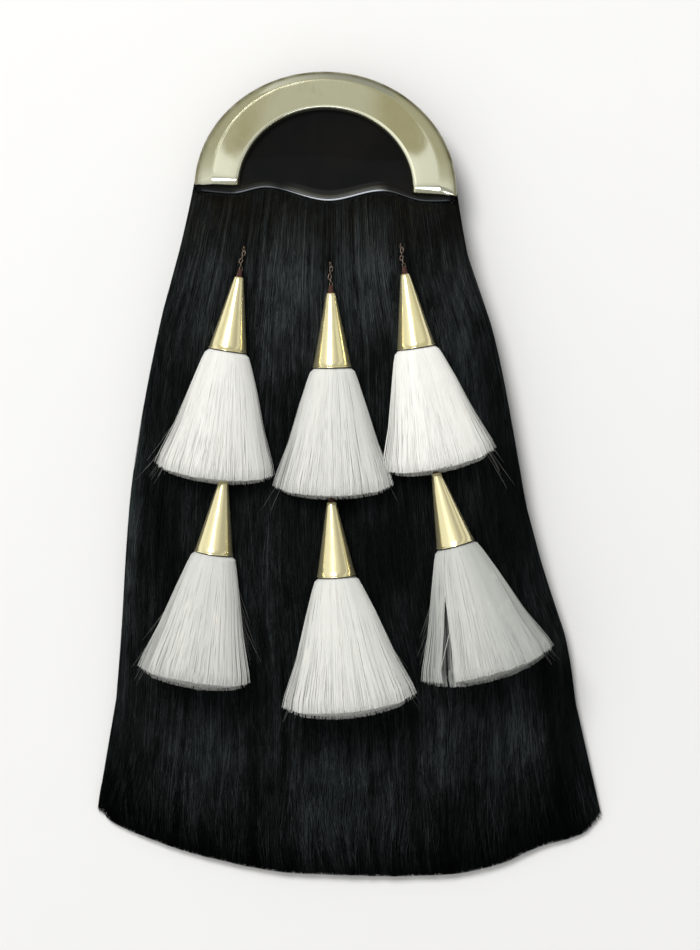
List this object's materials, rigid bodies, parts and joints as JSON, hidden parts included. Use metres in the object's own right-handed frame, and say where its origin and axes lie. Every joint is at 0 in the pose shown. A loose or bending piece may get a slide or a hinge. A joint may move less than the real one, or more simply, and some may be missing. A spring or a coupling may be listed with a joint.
{
  "type": "horsehair sporran pouch",
  "caption": "Long black horsehair sporran pouch with a pressed brass cantle, patent leather front and white tassels on brass cones, lying on its back.",
  "frame": {"origin": "centre of the pouch's flat back, where the sporran rests when it is laid down", "axes": "+Z out of the front, +Y towards the crown of the cantle, +X to the right when the front is looked at"},
  "size_m": [0.2952, 0.4762, 0.0687],
  "materials": {
    "brass": "polished, pale",
    "patent_leather": "high gloss",
    "pouch_leather": "grained, satin",
    "black_hair": "sleek hair",
    "white_hair": "sleek hair",
    "chain": "dark, aged"
  },
  "bodies": {
    "root": {"pouch": "pouch_leather", "rear_flap": "pouch_leather", "flap_stud": "brass", "strap_loop_left": "pouch_leather", "strap_loop_right": "pouch_leather", "cantle": "brass", "patent_panel": "patent_leather", "hair_skirt": "black_hair", "chain_upper_left": "chain", "chain_upper_middle": "chain", "chain_upper_right": "chain", "chain_lower_left": "chain", "chain_lower_middle": "chain", "chain_lower_right": "chain", "cone_upper_left": "brass", "cone_upper_middle": "brass", "cone_upper_right": "brass", "cone_lower_left": "brass", "cone_lower_middle": "brass", "cone_lower_right": "brass", "tuft_upper_left": "white_hair", "tuft_upper_middle": "white_hair", "tuft_upper_right": "white_hair", "tuft_lower_left": "white_hair", "tuft_lower_middle": "white_hair", "tuft_lower_right": "white_hair"}
  },
  "joints": []
}
